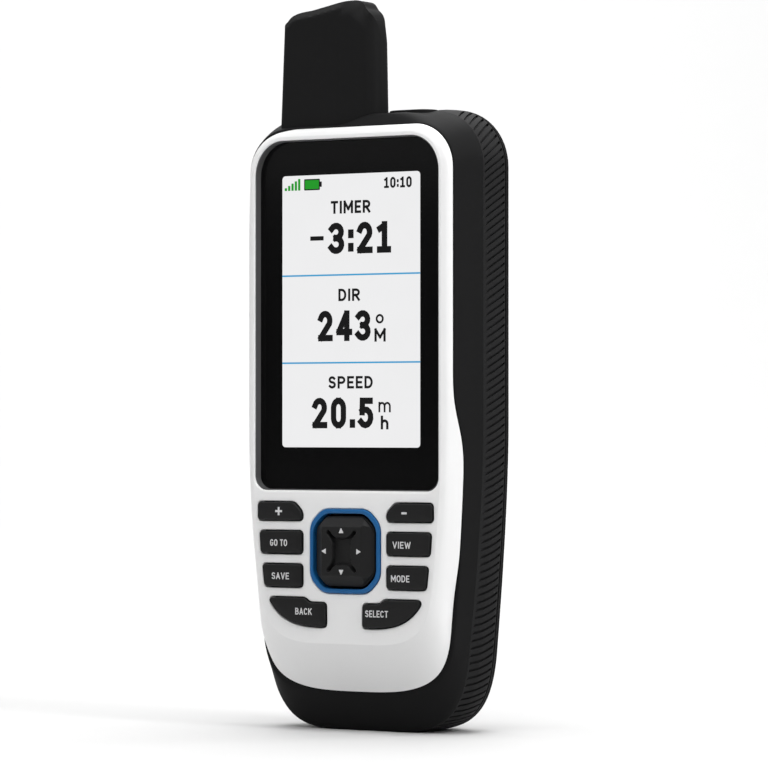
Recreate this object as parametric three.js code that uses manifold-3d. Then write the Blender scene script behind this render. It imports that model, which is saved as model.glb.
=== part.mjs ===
// Handheld GPS unit with a colour screen, eight keys, a rocker pad and a stub antenna.
// Millimetres, +Z up. The front looks along -Y. Inside the device group, y is the depth
// behind the screen plane, so y = 0 is the face of the window and +y goes into the case.

import * as THREE from 'three';
import { mergeVertices } from 'three/addons/utils/BufferGeometryUtils.js';
import Module from 'manifold-3d';

const wasm = await Module();
wasm.setup();

// ---------------------------------------------------------------- driving dimensions
const SCREEN_TO_MIDDLE = 17.8;      // from the screen plane to the middle of the depth
const GAP = 0.3;                    // kept between pieces that rest on each other
const SPINE_BACK = 39.8;            // rearmost face of the mounting spine
const ROCKER_FRONT = -4.2;          // foremost face of the rocker

const PANEL_FRONT = -2.4;           // face of the white bezel
const PANEL_BACK = -0.4;
const PARTING_HIGH = -0.3;          // seam of bezel and housing beside the screen
const PARTING_LOW = 2.8;            // the same seam beside the keys
const PARTING_SWEEP = [62, 86];     // heights between which the seam moves back
const REAR_SEAM = 17;               // housing meets the rear cover

const GRIP_FRONT = 8;
const GRIP_BACK = 16;
const GRIP_THICK = 1.8;
const GRIP_START_X = 21;            // where the band starts on the top face
const GRIP_END_X = 12;              // where it ends on the bottom face
const WALL_FRONT = 1.9;
const WALL_GRIP = 3.9;

const WINDOW = { half: 26.5, bottom: 58.2, top: 143.1, cornerX: 9.5, cornerZ: 14.6, foot: 3.5 };
const LENS_THICK = 1.5;
const SCREEN = { half: 19.9, bottom: 68.6, top: 134.6 };

const ANTENNA = { left: -21.5, right: 5.8, front: 0.9, back: 13.5, top: 176.9, corner: 1.4 };
const ANTENNA_BEND = { x: -4.5, frontRight: 2.4, rear: 4.5 };
const ANTENNA_AXIS = { x: -8, y: 8 };

const KEY_FRONT = -3.1;
const KEY_BACK = 1.2;
const KEY_FLANGE = 0.7;
const KEY_CORNER = 0.7;
const ROCKER_Z = 43.65;             // centre height of the rocker
const POWER = { x: 12.2, y: 9.4, halfX: 5.2, halfY: 2.5, top: 150.4, floor: 148.4 };
// Raised shoulder beside the antenna: where it starts, is full, fades and ends across the top.
const SHOULDER = { start: -5, full: 4.5, fade: 13, end: 23, low: 146, top: 150.1, reach: 3.2 };

// Case sections: depth, half width, half width and height where the flank turns into
// the bottom corner, bottom, top, radius of the top corners.
const SECTIONS = [
  [-2.4, 27.2, 24.2, 32.6, 21.3, 143.9, 10.4],
  [-1.9, 28.4, 25.3, 31.5, 19.8, 145.1, 11.3],
  [0, 29.5, 26.6, 26, 15, 146, 12],
  [2.8, 30.6, 27.6, 23.5, 9.5, 147.3, 12.4],
  [5.5, 31.6, 28.2, 22, 3.2, 148.5, 12.9],
  [7, 32.2, 28.6, 21.5, 0, 149, 13.2],
  [8.5, 32.8, 29, 21, 0, 149.4, 13.4],
  [11.5, 33.6, 30.2, 20.5, 0, 149.9, 13.8],
  [15.3, 34, 30.7, 20, 0, 150, 14],
  [17, 34, 30.7, 20, 0, 150, 14],
  [19, 32.9, 29.8, 20, 0, 149.6, 13.9],
  [22.8, 30.1, 27.2, 20.8, 0, 147.9, 13.4],
  [25.5, 27.9, 25, 22, 3.2, 146, 13],
  [28.6, 24.2, 21.6, 24, 6.8, 142.6, 12],
  [30.4, 20, 18, 27, 10.8, 138.8, 10.5],
  [31, 16.5, 15, 30, 14.5, 135, 9],
];
const FLANK_KNEE = 53;              // the flank bends towards the foot below this height
const FLANK_TOP = 74;               // and is straight above this one
const CASE_BACK = 31;

const SCREWS = [[25.6, 141.7], [27.5, 76], [21.6, 9.4]];
const BOSS_R = 3.3;

// ---------------------------------------------------------------- materials
const material = (color, roughness, metalness = 0) =>
  new THREE.MeshStandardMaterial({ color, roughness, metalness });
const MATERIALS = {
  whitePlastic: () => material(0xf2f2f2, 0.4),
  blackPlastic: () => material(0x202022, 0.55),
  gripRubber: () => material(0x2c2c2e, 0.8),
  keyRubber: () => material(0x1c1c1e, 0.7),
  blueTrim: () => material(0x1c5a92, 0.35),
  glass: () => material(0x0a0a0b, 0.08),
  screen: () => material(0xececec, 0.3),
  steel: () => material(0xb4b6b8, 0.35, 1),
  board: () => material(0x1d6b3a, 0.6),
  cell: () => material(0x5b7f9c, 0.5),
  ceramic: () => material(0xd8cfc0, 0.6),
  seal: () => material(0x3a3a3c, 0.85),
};

// ---------------------------------------------------------------- geometry helpers
function toSolid(geometry) {
  geometry.deleteAttribute('normal');
  geometry.deleteAttribute('uv');
  const merged = mergeVertices(geometry, 1e-4);
  return new wasm.Manifold(new wasm.Mesh({
    numProp: 3,
    vertProperties: new Float32Array(merged.attributes.position.array),
    triVerts: new Uint32Array(merged.index.array),
  }));
}

function toGeometry(solid) {
  const { vertProperties, triVerts } = solid.getMesh();
  const geometry = new THREE.BufferGeometry();
  geometry.setAttribute('position', new THREE.BufferAttribute(vertProperties, 3));
  geometry.setIndex(new THREE.BufferAttribute(triVerts, 1));
  geometry.computeVertexNormals();
  return geometry;
}

// A flat outline in x and z, made solid between two depths.
function plate(shape, front, back, curveSegments = 6) {
  const options = { depth: back - front, bevelEnabled: false, curveSegments };
  const geometry = new THREE.ExtrudeGeometry(shape, options);
  geometry.rotateX(Math.PI / 2);
  geometry.translate(0, back, 0);
  return toSolid(geometry);
}

// A flat outline in x and depth, made solid between two heights.
function column(shape, bottom, top, curveSegments = 6) {
  const options = { depth: top - bottom, bevelEnabled: false, curveSegments };
  const geometry = new THREE.ExtrudeGeometry(shape, options);
  geometry.translate(0, 0, bottom);
  return toSolid(geometry);
}

// A flat outline in depth and z, made solid across the width.
function across(shape, halfWidth) {
  const options = { depth: 2 * halfWidth, bevelEnabled: false, curveSegments: 6 };
  const geometry = new THREE.ExtrudeGeometry(shape, options);
  geometry.translate(0, 0, -halfWidth);
  const axes = [new THREE.Vector3(0, 1, 0), new THREE.Vector3(0, 0, 1), new THREE.Vector3(1, 0, 0)];
  geometry.applyMatrix4(new THREE.Matrix4().makeBasis(...axes));
  return toSolid(geometry);
}

function box(x0, x1, y0, y1, z0, z1) {
  const geometry = new THREE.BoxGeometry(x1 - x0, y1 - y0, z1 - z0);
  geometry.translate((x0 + x1) / 2, (y0 + y1) / 2, (z0 + z1) / 2);
  return toSolid(geometry);
}

// A round bar along the depth.
function bar(x, z, radius, front, back, segments = 14) {
  const geometry = new THREE.CylinderGeometry(radius, radius, back - front, segments);
  geometry.translate(x, (front + back) / 2, z);
  return toSolid(geometry);
}

function roundedRect(x0, x1, z0, z1, radius) {
  const shape = new THREE.Shape();
  shape.absarc(x1 - radius, z0 + radius, radius, -Math.PI / 2, 0);
  shape.absarc(x1 - radius, z1 - radius, radius, 0, Math.PI / 2);
  shape.absarc(x0 + radius, z1 - radius, radius, Math.PI / 2, Math.PI);
  shape.absarc(x0 + radius, z0 + radius, radius, Math.PI, 1.5 * Math.PI);
  shape.closePath();
  return shape;
}

function ringOf(outer, inner) {
  outer.holes.push(new THREE.Path(inner.getPoints(6)));
  return outer;
}

// Moves every edge of a counter-clockwise polygon outwards by the same distance.
function grow(points, distance) {
  return points.map(([x, z], i) => {
    const [px, pz] = points.at(i - 1);
    const [nx, nz] = points[(i + 1) % points.length];
    const before = new THREE.Vector2(z - pz, px - x).normalize();
    const after = new THREE.Vector2(nz - z, x - nx).normalize();
    const scale = distance / (1 + before.dot(after));
    return [x + (before.x + after.x) * scale, z + (before.y + after.y) * scale];
  });
}

// A polygon with its corners rounded by short curves.
function softPolygon(points, radius) {
  const shape = new THREE.Shape();
  const toward = (a, b) => {
    const length = Math.hypot(b[0] - a[0], b[1] - a[1]);
    const t = Math.min(radius / length, 0.42);
    return [a[0] + (b[0] - a[0]) * t, a[1] + (b[1] - a[1]) * t];
  };
  points.forEach((corner, i) => {
    const enter = toward(corner, points.at(i - 1));
    const leave = toward(corner, points[(i + 1) % points.length]);
    if (i === 0) shape.moveTo(...enter);
    else shape.lineTo(...enter);
    shape.quadraticCurveTo(...corner, ...leave);
  });
  shape.closePath();
  return shape;
}

// ---------------------------------------------------------------- the case's outer form
function sectionAt(depth) {
  const next = SECTIONS.findIndex((row) => row[0] >= depth);
  if (next <= 0) return SECTIONS[Math.max(next, 0)].slice(1);
  const [a, b] = [SECTIONS[next - 1], SECTIONS[next]];
  const t = (depth - a[0]) / (b[0] - a[0]);
  return a.slice(1).map((value, i) => value + (b[i + 1] - value) * t);
}

// Outline of one case section, moved inwards by inset, as points from the bottom centre.
function caseOutline(section, inset = 0) {
  const [half, foot, footTop, bottom, top, corner] = section;
  const [h, f, low, high] = [half - inset, foot - inset, bottom + inset, top - inset];
  const r = Math.max(corner - inset, 1);
  const v = (x, z) => new THREE.Vector2(x, z);
  const lift = 0.275 * (footTop - low);
  const corner3 = new THREE.CubicBezierCurve(v(f / 3, low), v(0.78 * f, low),
    v(0.961 * f, low + lift), v(f, footTop));
  const flank = new THREE.QuadraticBezierCurve(v(f, footTop), v(h - 0.1, FLANK_KNEE),
    v(h, FLANK_TOP));
  const shoulder = new THREE.EllipseCurve(h - r, high - r, r, r, 0, Math.PI / 2);
  const right = [...corner3.getPoints(7), ...flank.getPoints(4).slice(1),
    ...shoulder.getPoints(6)];
  const left = right.toReversed().map((p) => v(-p.x, p.y));
  return [...right, ...left];
}

// Skin through a list of { depth, points } rings, closed by a flat cap at each end.
function loft(rings) {
  const count = rings[0].points.length;
  const positions = rings.flatMap(({ depth, points }) => points.flatMap((p) => [p.x, depth, p.y]));
  const index = [];
  for (let r = 0; r + 1 < rings.length; r += 1) {
    for (let i = 0; i < count; i += 1) {
      const j = (i + 1) % count;
      const [a, b] = [r * count + i, r * count + j];
      index.push(a, b, b + count, a, b + count, a + count);
    }
  }
  const last = (rings.length - 1) * count;
  for (const [a, b, c] of THREE.ShapeUtils.triangulateShape(rings[0].points, [])) {
    index.push(a, c, b);
  }
  for (const [a, b, c] of THREE.ShapeUtils.triangulateShape(rings.at(-1).points, [])) {
    index.push(last + a, last + b, last + c);
  }
  const geometry = new THREE.BufferGeometry();
  geometry.setAttribute('position', new THREE.Float32BufferAttribute(positions, 3));
  geometry.setIndex(index.flatMap((value, i) => (i % 3 ? [] : [value, index[i + 2], index[i + 1]])));
  return toSolid(geometry);
}

// The case form between two depths, moved inwards by inset.
function caseForm(front, back, inset = 0) {
  const inside = SECTIONS.map((row) => row[0]).filter((d) => d > front && d < back);
  const depths = [front, ...inside, back];
  return loft(depths.map((depth) => ({ depth, points: caseOutline(sectionAt(depth), inset) })));
}

// Everything in front of the seam between bezel and housing.
function frontOfSeam(shift) {
  const [low, high] = PARTING_SWEEP;
  const middle = (low + high) / 2;
  const shape = new THREE.Shape();
  shape.moveTo(-20, -10);
  shape.lineTo(PARTING_LOW + shift, -10);
  shape.lineTo(PARTING_LOW + shift, low);
  shape.bezierCurveTo(PARTING_LOW + shift, middle, PARTING_HIGH + shift, middle,
    PARTING_HIGH + shift, high);
  shape.lineTo(PARTING_HIGH + shift, 200);
  shape.lineTo(-20, 200);
  shape.closePath();
  return across(shape, 60);
}

// ---------------------------------------------------------------- front pieces
function windowShape(margin) {
  const { half, bottom, top, cornerX, cornerZ, foot } = WINDOW;
  const [h, low, high] = [half + margin, bottom - margin, top + margin];
  const [rx, rz, r] = [cornerX + margin, cornerZ + margin, foot + margin];
  const shape = new THREE.Shape();
  shape.absarc(h - r, low + r, r, -Math.PI / 2, 0);
  shape.absellipse(h - rx, high - rz, rx, rz, 0, Math.PI / 2);
  shape.absellipse(-h + rx, high - rz, rx, rz, Math.PI / 2, Math.PI);
  shape.absarc(-h + r, low + r, r, Math.PI, 1.5 * Math.PI);
  shape.closePath();
  return shape;
}

// Outlines of the keys on the right-hand side, counter-clockwise.
const zoomOutline = [[14.2, 50.75], [25.35, 50.75], [25.3, 55.5], [14.4, 55.5], [12, 53.1], [12, 50.75]];
const upperOutline = [[12, 42.7], [24.45, 42.7], [24.85, 48.5], [12, 48.5]];
const lowerOutline = [[12, 34.6], [23.35, 34.6], [24.05, 40.45], [12, 40.45]];
const footOutline = [[5.3, 25.35], [11, 25.45], [15, 25.9], [17.8, 27.1], [20, 29], [21.8, 31.4],
  [21.3, 32.2], [11.3, 32.2], [10.2, 31.1], [5.35, 31.05]];
const mirrored = (points) => points.toReversed().map(([x, z]) => [-x, z]);
const KEYS = {
  zoom_in_key: mirrored(zoomOutline),
  goto_key: mirrored(upperOutline),
  save_key: mirrored(lowerOutline),
  back_key: mirrored(footOutline),
  zoom_out_key: zoomOutline,
  view_key: upperOutline,
  mode_key: lowerOutline,
  select_key: footOutline,
};

function octagon(half, halfZ, chamfer) {
  const [c, z] = [half - chamfer, halfZ - chamfer];
  const right = [[c, -halfZ], [half, -z], [half, z], [c, halfZ]];
  const left = right.toReversed().map(([x, dz]) => [-x, dz]);
  return [...right, ...left].map(([x, dz]) => [x, ROCKER_Z + dz]);
}
const RING_OUTER = octagon(10.1, 10.15, 3.6);
const RING_INNER = octagon(9, 9.05, 3.2);
const ROCKER_BASE = octagon(8.4, 8.45, 2.9);
const ROCKER_TOP = octagon(5.7, 6, 1.9);

function frontBezel() {
  const skin = caseForm(PANEL_FRONT, PARTING_LOW + 1);
  let bezel = skin.intersect(frontOfSeam(0));
  bezel = bezel.subtract(caseForm(PANEL_BACK, PARTING_LOW + 1, 1.8));
  bezel = bezel.subtract(plate(windowShape(0), PANEL_FRONT - 1, 5));
  for (const outline of Object.values(KEYS)) {
    const hole = softPolygon(grow(outline, GAP), KEY_CORNER);
    bezel = bezel.subtract(plate(hole, PANEL_FRONT - 1, 2, 2));
  }
  const ringHole = softPolygon(grow(RING_OUTER, GAP), 1.2);
  return bezel.subtract(plate(ringHole, PANEL_FRONT - 1, 2, 3));
}

function key(outline) {
  const cap = plate(softPolygon(outline, KEY_CORNER), KEY_FRONT, KEY_BACK, 2);
  const flange = softPolygon(grow(outline, KEY_FLANGE), KEY_CORNER);
  return cap.add(plate(flange, PANEL_BACK + GAP, KEY_BACK - 0.5, 2));
}

function rockerRing() {
  const outer = softPolygon(RING_OUTER, 1.2);
  return plate(ringOf(outer, softPolygon(RING_INNER, 1.1)), -2.6, 0.2, 3);
}

function rockerKey() {
  const ring = (outline, depth) => {
    const points = softPolygon(outline, 1).getPoints(3).slice(0, -1);
    return { depth, points };
  };
  const cap = loft([ring(ROCKER_BASE, -1), ring(ROCKER_BASE, -2.3), ring(ROCKER_TOP, ROCKER_FRONT)]
    .toReversed());
  return cap.add(bar(0, ROCKER_Z, 2.2, -1.5, 0.4));
}

function windowGasket() {
  return plate(ringOf(windowShape(0.7), windowShape(-0.4)), LENS_THICK + GAP, LENS_THICK + 1.1);
}

function displayModule() {
  const { half, bottom, top } = SCREEN;
  return plate(roundedRect(-half - 3.5, half + 3.5, bottom - 8, top + 3, 2), LENS_THICK + GAP, 5);
}

// ---------------------------------------------------------------- housing and covers
function gripBand(inset, front, back) {
  const band = caseForm(front, back, -1).subtract(caseForm(front - 1, back + 1, inset));
  const profile = new THREE.Shape();
  profile.moveTo(GRIP_END_X, -5);
  profile.lineTo(60, -5);
  profile.lineTo(60, 160);
  profile.lineTo(GRIP_START_X, 160);
  profile.lineTo(GRIP_START_X, FLANK_TOP);
  profile.lineTo(GRIP_END_X, FLANK_TOP);
  profile.closePath();
  return band.intersect(plate(profile, front - 2, back + 2));
}

function rightGrip() {
  const outer = caseForm(GRIP_FRONT, GRIP_BACK);
  return outer.intersect(gripBand(GRIP_THICK, GRIP_FRONT, GRIP_BACK));
}

function gripSlot() {
  const slot = gripBand(GRIP_THICK + GAP, GRIP_FRONT - GAP, GRIP_BACK + GAP);
  return slot.add(slot.translate([-GAP, 0, 0]));
}

function mirrorX(solid) {
  return solid.mirror([1, 0, 0]);
}

// The raised shoulder that holds the power key, grown by a margin.
function topShoulder(margin) {
  const { start, full, fade, end, low, top, reach } = SHOULDER;
  const across = [end, 20, 17, 15, fade, full, 2, -1, start];
  const rings = [0.2, 1, 2, reach, 5.5, 9, 11].map((depth, i, all) => {
    const [half, , , , caseTop, corner] = sectionAt(depth);
    const crestTop = low + (top - low) * (1 - Math.max(0, 1 - depth / reach) ** 2);
    const crest = across.map((x) => {
      const over = Math.max(0, Math.abs(x) - half + corner);
      const plain = caseTop - corner + Math.sqrt(corner ** 2 - over ** 2);
      const share = THREE.MathUtils.smoothstep(x, start, full)
        * (1 - THREE.MathUtils.smoothstep(x, fade, end));
      return new THREE.Vector2(x, plain - 0.05 + margin + share * Math.max(0, crestTop - plain));
    });
    const ends = [new THREE.Vector2(start, 142), new THREE.Vector2(end, 142)];
    const shift = i === 0 ? -margin : 0;
    return { depth: depth + (i === all.length - 1 ? margin : shift), points: [...ends, ...crest] };
  });
  return loft(rings);
}

function mainHousing() {
  let housing = caseForm(PARTING_HIGH, REAR_SEAM).subtract(frontOfSeam(GAP));
  housing = housing.add(topShoulder(0));
  housing = housing.subtract(caseForm(PARTING_HIGH - 1, 5.5, WALL_FRONT));
  housing = housing.subtract(caseForm(5.4, REAR_SEAM + 1, WALL_GRIP));
  for (const side of [1, -1]) {
    for (const [x, z] of SCREWS) {
      housing = housing.add(bar(side * x, z, BOSS_R, 6.5, REAR_SEAM));
    }
  }
  for (const side of [1, -1]) {
    for (const [x, z] of SCREWS) {
      housing = housing.subtract(bar(side * x, z, 1.5, 9, REAR_SEAM + 1));
    }
  }
  const slot = gripSlot();
  housing = housing.subtract(slot).subtract(mirrorX(slot));
  housing = housing.subtract(powerRecess());
  const feed = new THREE.Shape().absarc(ANTENNA_AXIS.x, ANTENNA_AXIS.y, 2, 0, 2 * Math.PI);
  return housing.subtract(column(feed, 140, 152, 7));
}

function rearCavity() {
  const rings = [[REAR_SEAM, 17, WALL_GRIP], [20, 20, 3.6], [23, 24, 2.6], [26.5, 28, 2.4],
    [28.6, 30.4, 2]];
  return loft(rings.map(([depth, source, inset]) =>
    ({ depth, points: caseOutline(sectionAt(source), inset) })));
}

const CAP = { half: 9, bottom: 17.5, top: 30.5, hinge: -9.9 };
const PORT = { left: -7, right: 7.2, bottom: 19.7, top: 28.3 };
const LABEL = { half: 12, bottom: 36, top: 56, floor: 30.3 };
const VENT = { z: 126, radius: 2.5, floor: 30.2 };
const SPINE = { bottom: 62, top: 118, neck: 5, head: 8, undercut: 35.5 };
const SPINE_SCREWS = [69, 111];

function rearCover() {
  const form = caseForm(REAR_SEAM + GAP, CASE_BACK);
  let cover = form.subtract(rearCavity());
  for (const side of [1, -1]) {
    for (const [x, z] of SCREWS) {
      const boss = bar(side * x, z, 4.5, REAR_SEAM + GAP, CASE_BACK).intersect(form);
      cover = cover.add(boss);
    }
  }
  for (const side of [1, -1]) {
    for (const [x, z] of SCREWS) {
      cover = cover.subtract(bar(side * x, z, 3.1, 20.5, CASE_BACK + 1));
      cover = cover.subtract(bar(side * x, z, 1.5, 16, 22));
    }
  }
  cover = cover.subtract(rimBand(REAR_SEAM, REAR_SEAM + 1.6, 1.6, 3.7));
  cover = cover.subtract(box(PORT.left, PORT.right, 26, CASE_BACK + 1, PORT.bottom, PORT.top));
  const label = roundedRect(-LABEL.half - GAP, LABEL.half + GAP, LABEL.bottom - GAP,
    LABEL.top + GAP, 1.5);
  cover = cover.subtract(plate(label, LABEL.floor, CASE_BACK + 1, 2));
  cover = cover.subtract(bar(0, VENT.z, VENT.radius + GAP, VENT.floor, CASE_BACK + 1));
  for (const z of SPINE_SCREWS) {
    cover = cover.subtract(bar(0, z, 1.3, 27, CASE_BACK + 1, 10));
  }
  return cover;
}

// A closed band that follows the case wall between two depths.
function rimBand(front, back, outerInset, innerInset) {
  return caseForm(front, back, outerInset).subtract(caseForm(front - 1, back + 1, innerInset));
}

// Seal that lies in a groove in the front edge of the rear cover.
function housingSeal() {
  return rimBand(REAR_SEAM + GAP, REAR_SEAM + 1.3, 1.9, 3.4);
}

function caseScrew(x, z) {
  const head = bar(x, z, 2.8, 20.8, 22.6);
  const slot = box(x - 2, x + 2, 22, 23, z - 0.4, z + 0.4);
  return head.subtract(slot).add(bar(x, z, 1.15, 10, 21, 10));
}

function mountSpine() {
  const { neck, head, undercut } = SPINE;
  const shape = new THREE.Shape();
  shape.moveTo(-neck, CASE_BACK + GAP);
  shape.lineTo(neck, CASE_BACK + GAP);
  shape.lineTo(neck, undercut);
  shape.lineTo(head, undercut + 0.8);
  shape.lineTo(head, SPINE_BACK - 1);
  shape.lineTo(head - 1, SPINE_BACK);
  shape.lineTo(-head + 1, SPINE_BACK);
  shape.lineTo(-head, SPINE_BACK - 1);
  shape.lineTo(-head, undercut + 0.8);
  shape.lineTo(-neck, undercut);
  shape.closePath();
  let spine = column(shape, SPINE.bottom, SPINE.top);
  for (const z of SPINE_SCREWS) {
    spine = spine.subtract(bar(0, z, 2.7, SPINE_BACK - 2.4, SPINE_BACK + 1));
    spine = spine.subtract(bar(0, z, 1.3, CASE_BACK - 1, SPINE_BACK, 10));
  }
  return spine;
}

function spineScrew(z) {
  return bar(0, z, 2.4, SPINE_BACK - 2.1, SPINE_BACK - 0.4).add(bar(0, z, 1, 29.2, SPINE_BACK - 2, 10));
}

// ---------------------------------------------------------------- antenna and power key
// Flat in front, turning back a little to the right, with a half-ellipse behind.
function antennaPlan(margin) {
  const { left, right, front, back, corner } = ANTENNA;
  const { x, frontRight, rear } = ANTENNA_BEND;
  const [l, r, f, b] = [left + margin, right - margin, front + margin, back - margin];
  const shape = new THREE.Shape();
  shape.moveTo(l + corner, f);
  shape.lineTo(x, f);
  shape.lineTo(r - 2, frontRight + margin);
  shape.quadraticCurveTo(r, frontRight + margin, r, rear);
  shape.absellipse((l + r) / 2, rear, (r - l) / 2, b - rear, 0, Math.PI);
  shape.lineTo(l, f + corner);
  shape.quadraticCurveTo(l, f, l + corner, f);
  return shape;
}

function antennaHousing() {
  const { left, right, front, back, top } = ANTENNA;
  const face = new THREE.Shape();
  face.moveTo(left, 145);
  face.lineTo(right, 145);
  face.lineTo(right - 0.5, top - 8);
  face.bezierCurveTo(right - 0.8, top - 3.5, right - 4, top, right - 8, top);
  face.lineTo(-16, top - 3.3);
  face.bezierCurveTo(-18, top - 3.6, -19, top - 5, left + 1, top - 6.8);
  face.closePath();
  const flank = new THREE.Shape();
  flank.moveTo(front, 140);
  flank.lineTo(back, 140);
  flank.bezierCurveTo(back, 165, back - 1, top - 1, back - 5, top);
  flank.lineTo(front + 3, top);
  flank.quadraticCurveTo(front + 0.8, top - 0.6, front + 0.4, top - 4);
  flank.closePath();
  const outside = column(antennaPlan(0), 140, top).intersect(plate(face, 0, 20))
    .intersect(across(flank, 30));
  const inside = column(antennaPlan(1.9), 139, top - 10);
  return outside.subtract(inside).subtract(caseForm(0, 25, -GAP)).subtract(topShoulder(GAP));
}

function antennaElement() {
  const profile = [[0, 138.5], [1.2, 138.5], [1.2, 152], [3.2, 152], [3.2, 166], [0, 166]];
  const points = profile.map(([r, z]) => new THREE.Vector2(r, z));
  const geometry = new THREE.LatheGeometry(points, 14);
  geometry.rotateX(Math.PI / 2);
  geometry.translate(ANTENNA_AXIS.x, ANTENNA_AXIS.y, 0);
  return toSolid(geometry);
}

function powerShape(margin) {
  const { x, y, halfX, halfY } = POWER;
  return roundedRect(x - halfX - margin, x + halfX + margin, y - halfY - margin,
    y + halfY + margin, halfY + margin);
}

function powerStem(margin) {
  const { x, y } = POWER;
  return roundedRect(x - 3 - margin, x + 3 + margin, y - 1 - margin, y + 1 + margin, 0.5);
}

function powerRecess() {
  const well = column(powerShape(1.2 + GAP), POWER.floor, 155, 4);
  return well.add(column(powerStem(GAP), 140, 155, 2));
}

function powerButton() {
  const cap = column(powerShape(0), POWER.floor + 0.9, POWER.top, 4);
  return cap.add(column(powerStem(0), 143, POWER.floor + 1, 2));
}

function powerCollar() {
  const outline = ringOf(powerShape(1.2), powerShape(GAP));
  return column(outline, POWER.floor + GAP, POWER.top - 0.35, 4);
}

// ---------------------------------------------------------------- weather cap
function weatherCap() {
  const { half, bottom, top, hinge } = CAP;
  const front = CASE_BACK + GAP;
  const lid = plate(roundedRect(hinge + 0.3, half, bottom, top, 2), front, front + 1.8, 4);
  const plug = box(-6.2, 6.2, front - 1.9, front + 0.2, PORT.bottom + 0.7, PORT.top - 0.7);
  return lid.add(plug);
}

// ---------------------------------------------------------------- the assembly
const device = new THREE.Group();
device.position.y = -SCREEN_TO_MIDDLE;

function addPiece(name, solid, look) {
  const mesh = new THREE.Mesh(toGeometry(solid), MATERIALS[look]());
  mesh.name = name;
  device.add(mesh);
}

addPiece('front_bezel', frontBezel(), 'whitePlastic');
addPiece('main_housing', mainHousing(), 'blackPlastic');
addPiece('rear_cover', rearCover(), 'blackPlastic');
addPiece('housing_seal', housingSeal(), 'seal');
const grip = rightGrip();
addPiece('right_grip', grip, 'gripRubber');
addPiece('left_grip', mirrorX(grip), 'gripRubber');

addPiece('window_lens', plate(windowShape(0.7), 0, LENS_THICK), 'glass');
addPiece('window_gasket', windowGasket(), 'seal');
addPiece('display_module', displayModule(), 'screen');
addPiece('display_frame', plate(roundedRect(-25, 25, 59, 141, 2), 5.3, 6.1, 2), 'steel');

for (const [name, outline] of Object.entries(KEYS)) {
  addPiece(name, key(outline), 'keyRubber');
}
addPiece('rocker_ring', rockerRing(), 'blueTrim');
addPiece('rocker_key', rockerKey(), 'keyRubber');
addPiece('rocker_pivot', bar(0, ROCKER_Z, 3, 0.7, 1.9), 'steel');
addPiece('keypad_sheet', plate(roundedRect(-23, 23, 24, 55.5, 3), 2.3, 3.1, 2), 'seal');

addPiece('antenna_housing', antennaHousing(), 'blackPlastic');
addPiece('antenna_element', antennaElement(), 'ceramic');
addPiece('power_button', powerButton(), 'keyRubber');
addPiece('power_collar', powerCollar(), 'blackPlastic');
addPiece('power_switch', box(10.4, 15.6, 10.7, 13.2, 135.5, 141.8), 'steel');

addPiece('main_board', plate(roundedRect(-21.8, 21.8, 16, 137.8, 2), 9, 10.4, 2), 'board');
addPiece('rf_shield', box(-16, 16, 10.7, 13.2, 104, 131), 'steel');
addPiece('beeper', bar(14, 24, 5, 10.7, 13.7), 'blackPlastic');
addPiece('battery_bracket', plate(roundedRect(-21, 21, 30, 102, 3), 15.4, 16.8, 2), 'blackPlastic');
addPiece('battery_pack', plate(roundedRect(-19, 19, 32, 100, 2.5), 17.1, 26, 3), 'cell');

addPiece('usb_connector', box(-5.5, 5.5, 21, 28.9, 21, 27), 'steel');
addPiece('usb_weather_cap', weatherCap(), 'keyRubber');
const capAnchor = plate(roundedRect(-15, -11.3, 19, 29, 1.2), CASE_BACK + GAP, CASE_BACK + 1.4, 3);
addPiece('cap_anchor', capAnchor, 'keyRubber');
addPiece('mount_spine', mountSpine(), 'blackPlastic');
SPINE_SCREWS.forEach((z, i) => addPiece(`spine_screw_${i + 1}`, spineScrew(z), 'steel'));
const plateShape = roundedRect(-LABEL.half, LABEL.half, LABEL.bottom, LABEL.top, 1.5);
addPiece('label_plate', plate(plateShape, LABEL.floor + GAP, CASE_BACK - 0.1, 2), 'steel');
const ventBack = CASE_BACK - 0.1;
addPiece('breather_vent', bar(0, VENT.z, VENT.radius, VENT.floor + GAP, ventBack), 'seal');
const screwPlaces = SCREWS.flatMap(([x, z]) => [[-x, z], [x, z]]);
screwPlaces.forEach(([x, z], i) => addPiece(`case_screw_${i + 1}`, caseScrew(x, z), 'steel'));

const gpsUnit = new THREE.Group();
gpsUnit.add(device);
export default gpsUnit;
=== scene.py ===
"""Looks of a handheld GPS unit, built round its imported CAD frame.

Points are given as x, depth, z in millimetres: x to the right, depth behind the face of the
window, z up. place() turns them into the frame's metres.
"""
import math

import bmesh
import bpy
import numpy as np
from mathutils import Matrix, Vector, geometry


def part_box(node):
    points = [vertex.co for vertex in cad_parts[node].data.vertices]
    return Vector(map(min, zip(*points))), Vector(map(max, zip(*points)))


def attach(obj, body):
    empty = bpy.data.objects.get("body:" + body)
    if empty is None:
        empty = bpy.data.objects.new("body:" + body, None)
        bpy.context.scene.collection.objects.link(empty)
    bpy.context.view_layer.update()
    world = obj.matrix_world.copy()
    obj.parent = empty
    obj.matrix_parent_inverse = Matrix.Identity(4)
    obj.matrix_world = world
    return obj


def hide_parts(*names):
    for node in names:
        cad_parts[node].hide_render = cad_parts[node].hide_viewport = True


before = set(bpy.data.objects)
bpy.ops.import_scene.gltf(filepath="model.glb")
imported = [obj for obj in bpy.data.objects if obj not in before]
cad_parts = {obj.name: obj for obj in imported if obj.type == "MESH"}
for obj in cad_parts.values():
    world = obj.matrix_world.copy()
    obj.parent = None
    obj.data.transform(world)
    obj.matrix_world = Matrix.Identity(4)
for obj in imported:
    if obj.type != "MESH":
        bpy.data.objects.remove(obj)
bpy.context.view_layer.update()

MM = 0.001
SCREEN_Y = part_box("window_lens")[0].y
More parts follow.
